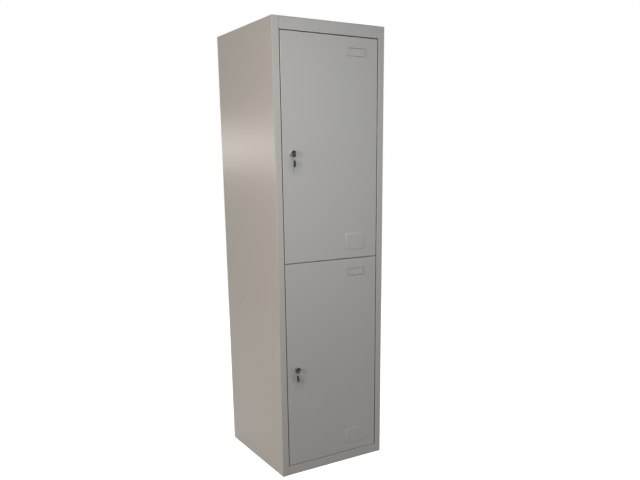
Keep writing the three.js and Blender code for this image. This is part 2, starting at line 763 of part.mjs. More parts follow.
function camScrew() {
  const seat = camFront + CAM_THICK + FIT;
  return turned([
    [0, seat - SCREW_LONG + FIT],
    [SCREW_SHANK / 2, seat - SCREW_LONG + FIT],
    [SCREW_SHANK / 2, seat],
    [SCREW_HEAD / 2, seat],
    [SCREW_HEAD / 2, seat + SCREW_HEAD_THICK / 3],
    [SCREW_HEAD / 3, seat + SCREW_HEAD_THICK],
    [0, seat + SCREW_HEAD_THICK],
  ], SMALL_FACETS);
}

// Key outlines: along the key from the head's rear edge, with the blade to the other side, and across it.
function headOutline(inset) {
  const half = HEAD_WIDE / 2 - inset;
  const tip = HEAD_LONG - inset;
  const round = HEAD_CORNER;
  const collar = HEAD_COLLAR / 2 - inset;
  const shape = new THREE.Shape();
  shape.moveTo(inset, -collar);
  shape.quadraticCurveTo(HEAD_SHOULDER / 2, -half, HEAD_SHOULDER, -half);
  shape.lineTo(tip - round, -half);
  shape.absarc(tip - round, round - half, round, -Math.PI / 2, 0, false);
  shape.absarc(tip - round, half - round, round, 0, Math.PI / 2, false);
  shape.lineTo(HEAD_SHOULDER, half);
  shape.quadraticCurveTo(HEAD_SHOULDER / 2, half, inset, collar);
  const hole = new THREE.Path();
  hole.absarc(holeAlong, 0, HOLE / 2 + inset, 0, 2 * Math.PI, true);
  shape.holes.push(hole);
  return shape;
}

function keyHead() {
  const moulded = new THREE.ExtrudeGeometry(plain(headOutline(HEAD_CHAMFER), KEY_STEPS), {
    depth: HEAD_THICK - 2 * HEAD_CHAMFER,
    bevelThickness: HEAD_CHAMFER,
    bevelSize: HEAD_CHAMFER,
    bevelSegments: 1,
  }).translate(0, 0, HEAD_CHAMFER - HEAD_THICK / 2);
  const wide = TANG_WIDE / 2 + SEAM;
  const thin = BLADE_THICK / 2 + SEAM;
  return cut(moulded, block(-OVERRUN, TANG_LONG + FIT, -wide, wide, -thin, thin));
}

function keyBlade() {
  const half = BLADE_WIDE / 2;
  const tang = TANG_WIDE / 2;
  const shoulder = SHOULDER_WIDE / 2;
  const shape = new THREE.Shape();
  shape.moveTo(TANG_LONG, -tang);
  shape.lineTo(TANG_LONG, tang);
  shape.lineTo(-SEAM, tang);
  shape.lineTo(-SEAM, shoulder);
  shape.lineTo(-SHOULDER_LONG, shoulder);
  shape.lineTo(-SHOULDER_LONG, half);
  shape.lineTo(BLADE_TIP - BLADE_LONG, half);
  shape.lineTo(-BLADE_LONG, half / 3);
  shape.lineTo(-BLADE_LONG, 0);
  shape.lineTo(BLADE_TIP - BLADE_LONG, -half);
  const start = BLADE_TIP - BLADE_LONG;
  const pitch = (BLADE_LONG - BLADE_TIP - 3 * SHOULDER_LONG) / CUT_DEPTH_SHARES.length;
  CUT_DEPTH_SHARES.forEach((share, i) => {
    const deep = share * CUT_DEPTH - half;
    shape.lineTo(start + (i + 0.35) * pitch, deep);
    shape.lineTo(start + (i + 0.65) * pitch, deep);
    shape.lineTo(start + (i + 1) * pitch, -half);
  });
  shape.lineTo(-SHOULDER_LONG, -half);
  shape.lineTo(-SHOULDER_LONG, -shoulder);
  shape.lineTo(-SEAM, -shoulder);
  shape.lineTo(-SEAM, -tang);
  const settings = { depth: BLADE_THICK, bevelEnabled: false };
  return new THREE.ExtrudeGeometry(shape, settings).translate(0, 0, -BLADE_THICK / 2);
}

// A key stands out from the lock along -Y, or hangs with its head up.
const pointingOut = new THREE.Matrix4().makeBasis(axisY.clone().negate(), axisZ, axisX.clone().negate());
const hanging = new THREE.Matrix4().makeBasis(axisZ, axisY, axisX.clone().negate());

function door(level, bottom, keyTurn, ringTilt, hangDrop) {
  const leaf = new THREE.Group();
  leaf.position.set(0, DOOR_RECESS, bottom);
  cabinet.add(leaf);
  piece(leaf, level + "_door_skin", doorSkin(), paint);
  piece(leaf, level + "_door_stiffener", stiffener(), paintInside);
  const holder = piece(leaf, level + "_card_holder", cardHolder(), paint);
  holder.position.set(doorWidth / 2 - FITTING_EDGE - HOLDER_WIDTH / 2, 0, doorHeight - HOLDER_TOP - HOLDER_HEIGHT);
  const topBush = piece(leaf, level + "_door_top_bush", bush(), nylon);
  topBush.rotation.x = Math.PI;
  topBush.position.set(pivotX, PIVOT_BACK, doorHeight);
  const bottomBush = piece(leaf, level + "_door_bottom_bush", bush(), nylon);
  bottomBush.position.set(pivotX, PIVOT_BACK, 0);

  const housing = new THREE.Group();
  housing.position.set(lockX, 0, lockZ);
  leaf.add(housing);
  piece(housing, level + "_lock_barrel", barrel(), chrome);
  piece(housing, level + "_lock_nut", nut(), zinc);

  const lock = new THREE.Group();
  lock.rotation.y = radians(keyTurn);
  housing.add(lock);
  piece(lock, level + "_lock_plug", plug(), chrome);
  piece(lock, level + "_lock_cam", cam(), zinc);
  piece(lock, level + "_cam_screw", camScrew(), zinc);
  const key = new THREE.Group();
  key.position.set(0, -HEAD_OFF_DOOR, 0);
  lock.add(key);
  piece(key, level + "_key_blade", keyBlade().applyMatrix4(pointingOut), chrome);
  piece(key, level + "_key_head", keyHead().applyMatrix4(pointingOut), blackPlastic);

  // The ring hangs through the head's hole, and the spare key hangs upright from the ring.
  const ring = new THREE.Group();
  ring.position.set(0, -HEAD_OFF_DOOR - holeAlong, 0);
  ring.rotation.y = radians(ringTilt - keyTurn);
  lock.add(ring);
  const hoop = piece(ring, level + "_key_ring",
    upright(new THREE.TorusGeometry(RING_RADIUS, WIRE / 2, WIRE_FACETS, RING_FACETS)), steel);
  hoop.position.set(0, 0, -hangDrop - RING_RADIUS);
  const plumb = new THREE.Group();
  plumb.position.copy(hoop.position);
  plumb.rotation.y = radians(-ringTilt);
  ring.add(plumb);
  const spare = new THREE.Group();
  spare.position.set(0, 0, -RING_RADIUS - wireDrop);
  spare.rotation.z = radians(-SPARE_YAW);
  plumb.add(spare);
  const blade = piece(spare, level + "_spare_key_blade", keyBlade().applyMatrix4(hanging), steel);
  blade.position.set(0, 0, -holeAlong);
  const head = piece(spare, level + "_spare_key_head", keyHead().applyMatrix4(hanging), blackPlastic);
  head.position.set(0, 0, -holeAlong);
}

door("upper", upperDoorBottom, 0, 0, wireDrop);
door("lower", lowerDoorBottom, LOWER_KEY_TURN, LOWER_RING_TILT, LOWER_HANG);

export default locker;
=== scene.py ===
# Two-tier metal locker: finishes, turned, moulded and folded parts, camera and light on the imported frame.
import json
import math

import bmesh
import bpy
from mathutils import Matrix, Vector


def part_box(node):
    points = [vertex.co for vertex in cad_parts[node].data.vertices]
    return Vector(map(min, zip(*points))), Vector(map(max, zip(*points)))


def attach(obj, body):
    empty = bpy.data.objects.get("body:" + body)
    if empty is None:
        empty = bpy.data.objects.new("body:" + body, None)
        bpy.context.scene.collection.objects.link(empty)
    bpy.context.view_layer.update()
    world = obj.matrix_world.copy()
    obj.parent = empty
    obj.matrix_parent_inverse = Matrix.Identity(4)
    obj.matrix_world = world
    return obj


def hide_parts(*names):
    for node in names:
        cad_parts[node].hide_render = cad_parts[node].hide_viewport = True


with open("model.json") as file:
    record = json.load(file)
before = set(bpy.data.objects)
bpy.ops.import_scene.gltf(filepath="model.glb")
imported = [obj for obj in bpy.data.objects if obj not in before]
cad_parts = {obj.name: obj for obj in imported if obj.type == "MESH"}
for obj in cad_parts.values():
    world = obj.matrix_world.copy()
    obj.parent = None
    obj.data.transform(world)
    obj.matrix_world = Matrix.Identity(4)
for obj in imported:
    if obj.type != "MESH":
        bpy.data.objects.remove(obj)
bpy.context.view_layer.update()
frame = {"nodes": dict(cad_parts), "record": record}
nodes = frame["nodes"]
bodies = frame["record"]["behaviour"]["bodies"]
bodyOf = {node: body for body, members in bodies.items() for node in members}
slotOf = {part["node"]: part["material_slot"] for part in frame["record"]["subparts"]}
levels = ("upper", "lower")

# distances within which points count as one: in the frame's meshes, and in the meshes made here
nodeWeld = 0.000002
weld = 0.000001
print("frame loaded:", len(nodes), "nodes")

# camera: fitted to the photo's corners
camera = {
    "place": (-1.42885, -2.50495, 1.28737),
    "right": (0.85871, -0.51230, -0.01250),
    "ahead": (0.49540, 0.83613, -0.23551),
    "lens": 37.27,
    "sensor": 36.0,
    "shift": (0.0070, 0.1285),
    "clip": (0.05, 60.0),
}


def makeCamera(c):
    data = bpy.data.cameras.new("camera")
    data.lens = c["lens"]
    data.sensor_width = c["sensor"]
    data.shift_x, data.shift_y = c["shift"]
    data.clip_start, data.clip_end = c["clip"]
    obj = bpy.data.objects.new("camera", data)
    bpy.context.scene.collection.objects.link(obj)
    right = Vector(c["right"]).normalized()
    back = -Vector(c["ahead"]).normalized()
    up = back.cross(right).normalized()
    turn = Matrix((right, up, back)).transposed().to_4x4()
    obj.matrix_world = Matrix.Translation(c["place"]) @ turn
    bpy.context.scene.camera = obj


makeCamera(camera)
print("camera placed")


# shader helpers
def newMaterial(name):
    mat = bpy.data.materials.new(name)
    mat.use_nodes = True
    tree = mat.node_tree
    shader = tree.nodes["Principled BSDF"]
    coords = tree.nodes.new("ShaderNodeTexCoord")
    return mat, tree, shader, coords.outputs["Object"]


def noise(tree, coords, scale, detail=2.0, rough=0.5):
    tex = tree.nodes.new("ShaderNodeTexNoise")
    tex.inputs["Scale"].default_value = scale
    tex.inputs["Detail"].default_value = detail
    tex.inputs["Roughness"].default_value = rough
    tree.links.new(coords, tex.inputs["Vector"])
    return tex.outputs["Fac"]


def stretched(tree, coords, scale):
    mapping = tree.nodes.new("ShaderNodeMapping")
    mapping.inputs["Scale"].default_value = scale
    tree.links.new(coords, mapping.inputs["Vector"])
    return mapping.outputs["Vector"]


# the values from start to end, where most of a noise lies, stretched over low to high
def spread(tree, value, low, high, start=0.3, end=0.7):
    ramp = tree.nodes.new("ShaderNodeMapRange")
    ramp.inputs["From Min"].default_value = start
    ramp.inputs["From Max"].default_value = end
    ramp.inputs["To Min"].default_value = low
    ramp.inputs["To Max"].default_value = high
    tree.links.new(value, ramp.inputs["Value"])
    return ramp.outputs["Result"]


def blendColours(tree, factor, first, second):
    mix = tree.nodes.new("ShaderNodeMix")
    mix.data_type = "RGBA"
    tree.links.new(factor, mix.inputs["Factor"])
    # a Mix node's colour sockets are its seventh and eighth inputs
    for socket, colour in ((mix.inputs[6], first), (mix.inputs[7], second)):
        if isinstance(colour, tuple):
            socket.default_value = (*colour, 1.0)
        else:
            tree.links.new(colour, socket)
    return mix.outputs[2]


def product(tree, first, second):
    times = tree.nodes.new("ShaderNodeMath")
    times.operation = "MULTIPLY"
    tree.links.new(first, times.inputs[0])
    tree.links.new(second, times.inputs[1])
    return times.outputs["Value"]


# readings of the two masks: the rays each takes, and the values that count as full and as none
edgeReading = {"rays": 6, "full": 0.75, "none": 0.99}
nookReading = {"rays": 8, "full": 0.25, "none": 0.75}


# 1 on an edge and 0 on a flat: how far the rounded normal leans away from the true one
def edgeMask(tree, radius):
    rounded = tree.nodes.new("ShaderNodeBevel")
    rounded.samples = edgeReading["rays"]
    rounded.inputs["Radius"].default_value = radius
    plain = tree.nodes.new("ShaderNodeNewGeometry")
    lean = tree.nodes.new("ShaderNodeVectorMath")
    lean.operation = "DOT_PRODUCT"
    tree.links.new(rounded.outputs["Normal"], lean.inputs[0])
    tree.links.new(plain.outputs["Normal"], lean.inputs[1])
    return spread(tree, lean.outputs["Value"], 1.0, 0.0, edgeReading["full"], edgeReading["none"])


# 1 deep in an upright gap and 0 on an open face: how much of the sky the face misses, if it faces sideways
def nookMask(tree, coords, reach):
    shade = tree.nodes.new("ShaderNodeAmbientOcclusion")
    shade.samples = nookReading["rays"]
    shade.inputs["Distance"].default_value = reach
    deep = spread(tree, shade.outputs["AO"], 1.0, 0.0, nookReading["full"], nookReading["none"])
    axes = tree.nodes.new("ShaderNodeSeparateXYZ")
    tree.links.new(coords.node.outputs["Normal"], axes.inputs["Vector"])
    sideways = tree.nodes.new("ShaderNodeMath")
    sideways.operation = "ABSOLUTE"
    tree.links.new(axes.outputs["X"], sideways.inputs[0])
    return product(tree, deep, sideways.outputs["Value"])


# bumps laid over each other, each a height, a strength and a depth
def relief(tree, shader, heights):
    normal = None
    for height, strength, distance in heights:
        bump = tree.nodes.new("ShaderNodeBump")
        bump.inputs["Strength"].default_value = strength
        bump.inputs["Distance"].default_value = distance
        tree.links.new(height, bump.inputs["Height"])
        if normal:
            tree.links.new(normal, bump.inputs["Normal"])
        normal = bump.outputs["Normal"]
    tree.links.new(normal, shader.inputs["Normal"])


# powder coat: a faint cloud in the colour, orange peel of about 2 mm, pale bends, and painted shade that
# darkens the upright gaps
powderCoat = {
    "light": (0.350, 0.350, 0.348), "dark": (0.339, 0.339, 0.337), "edge": (0.42, 0.418, 0.412),
    "cloud": 1.6, "flow": 6.0, "peel": 480.0, "peelDeep": 0.015, "rough": (0.27, 0.30), "wear": 0.0005,
    # the colour of the painted shade in upright gaps, where less sky reaches
    "gapShade": (0.05, 0.05, 0.048), "nook": 0.008,
}
innerCoat = {
    "light": (0.342, 0.341, 0.338), "dark": (0.320, 0.319, 0.316), "edge": (0.39, 0.388, 0.382),
    "cloud": 3.0, "flow": 7.0, "peel": 420.0, "peelDeep": 0.03, "rough": (0.34, 0.42), "wear": 0.0005,
    "gapShade": (0.12, 0.12, 0.118), "nook": 0.006,
}
coatPattern = {"span": (0.1, 0.9), "rub": 38.0, "rubbed": (0.25, 0.9), "peelTall": 0.00025, "index": 1.5}


def makePaint(name, p, pattern):
    mat, tree, shader, coords = newMaterial(name)
    cloud = spread(tree, noise(tree, coords, p["cloud"], detail=1.0), 0.0, 1.0, *pattern["span"])
    coat = blendColours(tree, cloud, p["light"], p["dark"])
    rubbed = spread(tree, noise(tree, coords, pattern["rub"], detail=4.0), *pattern["rubbed"])
    worn = product(tree, edgeMask(tree, p["wear"]), rubbed)
    clean = blendColours(tree, worn, coat, p["edge"])
    # painted shade: the colour darkens in upright gaps, as far as they miss the sky
    gapShaded = blendColours(tree, nookMask(tree, coords, p["nook"]), clean, p["gapShade"])
    tree.links.new(gapShaded, shader.inputs["Base Color"])
    even = spread(tree, noise(tree, coords, p["flow"], detail=1.0), *p["rough"], *pattern["span"])
    tree.links.new(even, shader.inputs["Roughness"])
    shader.inputs["Metallic"].default_value = 0.0
    shader.inputs["IOR"].default_value = pattern["index"]
    relief(tree, shader, [(noise(tree, coords, p["peel"]), p["peelDeep"], pattern["peelTall"])])
    return mat


# plated and bare metals: patches in the tone, a fine grain and brighter edges
metals = {
    "chrome": {"light": (0.35, 0.35, 0.355), "dark": (0.29, 0.29, 0.295), "edge": (0.32, 0.32, 0.325),
               "rough": (0.46, 0.54), "grain": (700.0, 700.0, 700.0), "wear": 0.0003},
    "steel": {"light": (0.36, 0.355, 0.345), "dark": (0.28, 0.275, 0.268), "edge": (0.42, 0.415, 0.405),
              "rough": (0.28, 0.42), "grain": (260.0, 900.0, 260.0), "wear": 0.0003},
    "zinc": {"light": (0.44, 0.45, 0.45), "dark": (0.34, 0.35, 0.37), "edge": (0.52, 0.53, 0.53),
             "rough": (0.32, 0.48), "grain": (420.0, 420.0, 420.0), "wear": 0.0004},
}
metalPattern = {"patch": 90.0, "smear": 160.0, "grainDeep": 0.12, "grainTall": 0.0002}


def makeMetal(name, m, pattern):
    mat, tree, shader, coords = newMaterial(name)
    patch = spread(tree, noise(tree, coords, pattern["patch"], detail=4.0), 0.0, 1.0)
    skin = blendColours(tree, patch, m["light"], m["dark"])
    bright = blendColours(tree, edgeMask(tree, m["wear"]), skin, m["edge"])
    tree.links.new(bright, shader.inputs["Base Color"])
    smear = spread(tree, noise(tree, coords, pattern["smear"], detail=5.0), *m["rough"])
    tree.links.new(smear, shader.inputs["Roughness"])
    shader.inputs["Metallic"].default_value = 1.0
    grain = noise(tree, stretched(tree, coords, m["grain"]), 1.0, detail=3.0)
    relief(tree, shader, [(grain, pattern["grainDeep"], pattern["grainTall"])])
    return mat


# moulded parts: a spark-eroded grain, and wear where hands and metal rub
moulded = {
    "blackPlastic": {"light": (0.009, 0.009, 0.010), "dark": (0.005, 0.005, 0.006),
                     "edge": (0.020, 0.020, 0.021), "rough": (0.42, 0.58), "grain": 1500.0, "wear": 0.0004,
                     "gloss": 0.35},
    "nylon": {"light": (0.72, 0.70, 0.64), "dark": (0.62, 0.60, 0.55), "edge": (0.78, 0.76, 0.70),
              "rough": (0.45, 0.60), "grain": 1100.0, "wear": 0.0003, "gloss": 0.5},
    "rubber": {"light": (0.030, 0.030, 0.031), "dark": (0.018, 0.018, 0.018), "edge": (0.05, 0.05, 0.05),
               "rough": (0.72, 0.88), "grain": 1300.0, "wear": 0.0004, "gloss": 0.4},
}
mouldedPattern = {
    "patch": 120.0, "rub": 260.0, "rubbed": (0.2, 0.9), "smear": 300.0, "grainDeep": 0.25,
    "grainTall": 0.0002,
}


def makeMoulded(name, m, pattern):
    mat, tree, shader, coords = newMaterial(name)
    patch = spread(tree, noise(tree, coords, pattern["patch"], detail=3.0), 0.0, 1.0)
    skin = blendColours(tree, patch, m["light"], m["dark"])
    rubbed = spread(tree, noise(tree, coords, pattern["rub"], detail=3.0), *pattern["rubbed"])
    worn = product(tree, edgeMask(tree, m["wear"]), rubbed)
    tree.links.new(blendColours(tree, worn, skin, m["edge"]), shader.inputs["Base Color"])
    smear = spread(tree, noise(tree, coords, pattern["smear"], detail=4.0), *m["rough"])
    tree.links.new(smear, shader.inputs["Roughness"])
    shader.inputs["Specular IOR Level"].default_value = m["gloss"]
    relief(tree, shader, [(noise(tree, coords, m["grain"]), pattern["grainDeep"], pattern["grainTall"])])
    return mat


# one finish for each material slot of the frame
looks = {
    "paint": makePaint("greyPowderCoat", powderCoat, coatPattern),
    "paint_inside": makePaint("greyInnerCoat", innerCoat, coatPattern),
}
for metalName, metalValues in metals.items():
    looks[metalName] = makeMetal(metalName, metalValues, metalPattern)
for slotName, mouldedName in (("black_plastic", "blackPlastic"), ("nylon", "nylon"), ("rubber", "rubber")):
    looks[slotName] = makeMoulded(mouldedName, moulded[mouldedName], mouldedPattern)

for nodeName, slotName in slotOf.items():
    mesh = nodes[nodeName].data
    mesh.materials.clear()
    mesh.materials.append(looks[slotName])
print("finishes set")


# a finished piece takes the place, the body and the finish of its node
def addPiece(name, bm, node, smooth=35.0):
    mesh = bpy.data.meshes.new(name)
    bm.to_mesh(mesh)
    bm.free()
    for face in mesh.polygons:
        face.use_smooth = True
    mesh.set_sharp_from_angle(angle=math.radians(smooth))
    mesh.materials.append(looks[slotOf[node]])
    obj = bpy.data.objects.new(name, mesh)
    bpy.context.scene.collection.objects.link(obj)
    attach(obj, bodyOf[node])
    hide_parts(node)
    return obj


def mergedCopy(node):
    bm = bmesh.new()
    bm.from_mesh(nodes[node].data)
    bmesh.ops.remove_doubles(bm, verts=bm.verts, dist=nodeWeld)
    return bm


# joins faces that lie within this many degrees of each other
flatWithin = 1.0


def clearFlats(bm):
    bmesh.ops.dissolve_limit(bm, angle_limit=math.radians(flatWithin), verts=bm.verts, edges=bm.edges)


def bevelEdges(bm, edges, width, steps):
    bmesh.ops.bevel(bm, geom=edges, offset=width, offset_type="OFFSET", affect="EDGES", segments=steps,
                    profile=0.5, material=-1, clamp_overlap=True)


# rounds the edges that turn by more than the degrees given
def roundEdges(bm, edge, turn, steps):
    bevelEdges(bm, [e for e in bm.edges if e.is_manifold and e.calc_face_angle(0.0) > math.radians(turn)],
               edge, steps)


# folded sheet: the frame's own solid, with its bends shaded as round ones and its flats kept flat
sheet = {"smooth": 36.0, "weight": 100}

# the doors' pressed fields: the creases of their slopes rounded, as far as fromRim off the skin's rim
crease = {"shallow": 12.0, "steep": 25.0, "round": 0.0016, "steps": 3, "fromRim": 0.02}
sheetParts = [
    "left_side_panel", "right_side_panel", "back_panel", "top_panel", "top_rail", "bottom_rail",
    "middle_rail", "compartment_shelf", "base_panel", "upper_door_skin", "lower_door_skin",
    "upper_door_stiffener", "lower_door_stiffener",
]


def roundCreases(bm, c):
    clearFlats(bm)
    low = [min(v.co[i] for v in bm.verts) + c["fromRim"] for i in (0, 2)]
    high = [max(v.co[i] for v in bm.verts) - c["fromRim"] for i in (0, 2)]
    creases = [e for e in bm.edges if e.is_manifold
               and math.radians(c["shallow"]) < e.calc_face_angle(0.0) < math.radians(c["steep"])
               and all(low[0] < v.co.x < high[0] and low[1] < v.co.z < high[1] for v in e.verts)]
    bevelEdges(bm, creases, c["round"], c["steps"])
    print("creases rounded:", len(creases))


def makeSheet(node, s):
    bm = mergedCopy(node)
    if node.endswith("door_skin"):
        roundCreases(bm, crease)
    piece = addPiece(node + "_folded", bm, node, s["smooth"])
    weighting = piece.modifiers.new("flats stay flat", "WEIGHTED_NORMAL")
    weighting.mode = "FACE_AREA"
    weighting.weight = s["weight"]
    weighting.keep_sharp = True


for sheetNode in sheetParts:
    makeSheet(sheetNode, sheet)
print("sheet folded")

# stamped and cast small parts: the edges that turn by more than softTurn degrees are broken
softTurn = 50
softened = {
    "key_blade": {"edge": 0.00018, "steps": 2},
    "lock_plug": {"edge": 0.00025, "steps": 2},
    "lock_nut": {"edge": 0.0005, "steps": 3},
    "lock_cam": {"edge": 0.0003, "steps": 2},
    "card_holder": {"edge": 0.00035, "steps": 2},
    "left_cradle": {"edge": 0.0004, "steps": 2},
    "right_cradle": {"edge": 0.0004, "steps": 2},
    "door_top_bush": {"edge": 0.0002, "steps": 2},
    "door_bottom_bush": {"edge": 0.0002, "steps": 2},
}
softenedAlone = {
    "middle_pivot_plate": {"edge": 0.0003, "steps": 2},
    "top_pivot_pin": {"edge": 0.0002, "steps": 2},
    "middle_pivot_pin": {"edge": 0.0002, "steps": 2},
    "bottom_pivot_pin": {"edge": 0.0002, "steps": 2},
}


def softenedCopy(node, s):
    bm = mergedCopy(node)
    clearFlats(bm)
    roundEdges(bm, s["edge"], softTurn, s["steps"])
    addPiece(node + "_softened", bm, node)


for level in levels:
    for part, values in softened.items():
        softenedCopy(level + "_" + part, values)
for nodeName, values in softenedAlone.items():
    softenedCopy(nodeName, values)
print("edges softened")

# key heads: a moulded rim round a sunk panel on both sides
keyHead = {
    "flatFrom": 0.0014, "rim": 0.0010, "wall": 0.0004, "sunk": 0.0004, "edge": 0.0002, "turn": 32,
    "steps": 2, "samePlane": 0.00002,
}
# cosines of the angles within which a face counts as facing along a given way, and as part of one flat
facing = 0.99
oneFlat = 0.999


# the faces that face across and lie at least so far from the middle
def facesAcross(bm, across, atLeast):
    middle = sum((v.co for v in bm.verts), Vector()) / len(bm.verts)
    return [f for f in bm.faces if abs(f.normal.dot(across)) > facing
            and abs((f.calc_center_median() - middle).dot(across)) > atLeast]


# fills every flat of more than four corners again round its holes, because a rim that grows can fold a flat
# over its own seams
def refillFlats(bm, samePlane):
    bm.normal_update()
    flats = [f for f in bm.faces if len(f.verts) > 4]
    while flats:
        way, at = flats[0].normal.copy(), flats[0].calc_center_median()
        group = [f for f in flats if abs(f.normal.dot(way)) > oneFlat
                 and abs((f.calc_center_median() - at).dot(way)) < samePlane]
        flats = [f for f in flats if f not in group]
        rim = [e for e in bm.edges if sum(f in group for f in e.link_faces) == 1]
        bmesh.ops.delete(bm, geom=group, context="FACES")
        bmesh.ops.triangle_fill(bm, edges=rim, use_beauty=True, normal=way)
    bmesh.ops.recalc_face_normals(bm, faces=bm.faces)


def sinkRegion(bm, faces, wide, deep):
    bmesh.ops.inset_region(bm, faces=faces, thickness=wide, depth=-deep, use_boundary=True,
                           use_even_offset=True)


def makeKeyHead(node, k):
    bm = mergedCopy(node)
    clearFlats(bm)
    across = max(bm.faces, key=lambda face: face.calc_area()).normal.copy()
    panels = facesAcross(bm, across, k["flatFrom"])
    sinkRegion(bm, panels, k["rim"], 0.0)
    sinkRegion(bm, panels, k["wall"], k["sunk"])
    roundEdges(bm, k["edge"], k["turn"], k["steps"])
    refillFlats(bm, k["samePlane"])
    addPiece(node + "_moulded", bm, node)


for level in levels:
    makeKeyHead(level + "_key_head", keyHead)
    makeKeyHead(level + "_spare_key_head", keyHead)
print("key heads moulded")

# spare key blades: a milled groove along both sides
keyBlade = {"flatFrom": 0.0005, "groove": 0.0008, "deep": 0.0003, "fromTip": 0.004, "fromHead": 0.010}


def makeSpareBlade(node, k):
    bm = mergedCopy(node)
    clearFlats(bm)
    lowCorner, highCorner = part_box(node)
    across = max(bm.faces, key=lambda face: face.calc_area()).normal.copy()
    upright = Vector((0, 0, 1))
    wide = across.cross(upright).normalized()
    middle = (lowCorner + highCorner) / 2
    bottom = Vector((0, 0, lowCorner.z + k["fromTip"]))
    top = Vector((0, 0, highCorner.z - k["fromHead"]))
    beside = wide * k["groove"]
    for at, way in ((middle + beside, wide), (middle - beside, wide), (bottom, upright), (top, upright)):
        bmesh.ops.bisect_plane(bm, geom=bm.verts[:] + bm.edges[:] + bm.faces[:], dist=weld, plane_co=at,
                               plane_no=way)
    floors = [f for f in facesAcross(bm, across, k["flatFrom"])
              if abs((f.calc_center_median() - middle).dot(wide)) < k["groove"]
              and bottom.z < f.calc_center_median().z < top.z]
    sinkRegion(bm, floors, k["deep"], k["deep"])
    addPiece(node + "_grooved", bm, node)


for level in levels:
    makeSpareBlade(level + "_spare_key_blade", keyBlade)
print("spare blades grooved")


# turned parts: a profile of radius and height, spun and then laid along its axis
def spun(profile, steps):
    bm = bmesh.new()
    line = [bm.verts.new((radius, 0.0, height)) for radius, height in profile]
    edges = [bm.edges.new(pair) for pair in zip(line, line[1:])]
    bmesh.ops.spin(bm, geom=line + edges, cent=(0, 0, 0), axis=(0, 0, 1), angle=2 * math.pi, steps=steps,
                   use_merge=True)
    bmesh.ops.remove_doubles(bm, verts=bm.verts, dist=weld)
    bmesh.ops.recalc_face_normals(bm, faces=bm.faces)
    return bm


def layAlong(bm, degrees, axis, place):
    turn = Matrix.Rotation(math.radians(degrees), 3, axis)
    bmesh.ops.rotate(bm, cent=(0, 0, 0), matrix=turn, verts=bm.verts)
    bmesh.ops.translate(bm, vec=place, verts=bm.verts)


# a quarter of an ellipse that rises from the height given and runs in to the radius less its width
def roundCorner(radius, height, wide, tall, steps):
    angles = [math.pi / 2 * i / steps for i in range(steps + 1)]
    return [(radius - wide + wide * math.cos(a), height + tall * math.sin(a)) for a in angles]


# lock barrels: a domed flange, and a threaded body with two flats behind the door's skin
barrel = {
    "bore": 0.0068, "bead": 0.0003, "flange": 0.0030, "domeWide": 0.00275, "domeTall": 0.0012,
    "domeSteps": 9, "body": 0.0090, "core": 0.0085, "flat": 0.0081, "plainNeck": 0.0012,
    "pitch": 0.00125, "steps": 96, "smooth": 30.0,
}


# the faces behind the flange that lie within the body's radius
def seatFaces(bm, b):
    return [f for f in bm.faces if all(abs(v.co.z + b["flange"]) < weld for v in f.verts)
            and f.calc_center_median().xy.length < b["body"]]


# cuts the faces along the flat on one side, clears what lies outside it if asked, and returns the new edges
def cutFlat(bm, b, side, faces, clear):
    verts = dict.fromkeys(v for f in faces for v in f.verts)
    edges = dict.fromkeys(e for f in faces for e in f.edges)
    cut = bmesh.ops.bisect_plane(bm, geom=[*verts, *edges, *faces], dist=weld, clear_outer=clear,
                                 plane_co=(0, side * b["flat"], 0), plane_no=(0, side, 0))
    return [item for item in cut["geom_cut"] if isinstance(item, bmesh.types.BMEdge)]


# left open where the shank joins it
def makeBarrelFlange(b, reach):
    dome = roundCorner(reach, -b["domeTall"], b["domeWide"], b["domeTall"], b["domeSteps"])
    profile = [(b["bore"], -b["flange"]), (b["body"], -b["flange"]), (reach - b["bead"], -b["flange"]),
               (reach, b["bead"] - b["flange"])]
    flange = spun(profile + dome + [(b["bore"] + b["bead"], 0.0), (b["bore"], -b["bead"]),
                                    (b["bore"], -b["flange"])], b["steps"])
    for side in (1, -1):
        cutFlat(flange, b, side, seatFaces(flange, b), False)
    seat = [f for f in seatFaces(flange, b) if abs(f.calc_center_median().y) < b["flat"]]
    bmesh.ops.delete(flange, geom=seat, context="FACES")
    return flange


def makeBarrelShank(b, long):
    start = b["flange"] + b["plainNeck"]
    turns = int((long - start) / b["pitch"])
    profile = [(b["bore"], -b["flange"]), (b["body"], -b["flange"]), (b["body"], -start)]
    for i in range(turns):
        profile.append((b["core"], -start - (i + 0.5) * b["pitch"]))
        profile.append((b["body"], -start - (i + 1) * b["pitch"]))
    shank = spun(profile + [(b["core"], -long), (b["bore"], -long), (b["bore"], -b["flange"])], b["steps"])
    for side in (1, -1):
        bmesh.ops.contextual_create(shank, geom=cutFlat(shank, b, side, shank.faces[:], True))
    bmesh.ops.delete(shank, geom=seatFaces(shank, b), context="FACES")
    return shank


def makeBarrel(level, b):
    node = level + "_lock_barrel"
    lowCorner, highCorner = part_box(node)
    centre = (lowCorner + highCorner) / 2
    whole = makeBarrelFlange(b, (highCorner.x - lowCorner.x) / 2)
    shank = makeBarrelShank(b, highCorner.y - lowCorner.y)
    joined = bpy.data.meshes.new("barrel shank")
    shank.to_mesh(joined)
    shank.free()
    whole.from_mesh(joined)
    bpy.data.meshes.remove(joined)
    bmesh.ops.remove_doubles(whole, verts=whole.verts, dist=weld)
    bmesh.ops.recalc_face_normals(whole, faces=whole.faces)
    layAlong(whole, 90, "X", (centre.x, lowCorner.y, centre.z))
    addPiece(level + "_barrel_turned", whole, node, b["smooth"])


for level in levels:
    makeBarrel(level, barrel)
print("lock barrels turned")

# cam screws: a domed head with a cross recess
camScrew = {
    "shank": 0.0020, "tip": 0.0003, "head": 0.0024, "rim": 0.0006, "domeWide": 0.0020, "slot": 0.0005,
    "arm": 0.0021, "deep": 0.0012, "steps": 48, "domeSteps": 7, "smooth": 30.0,
}


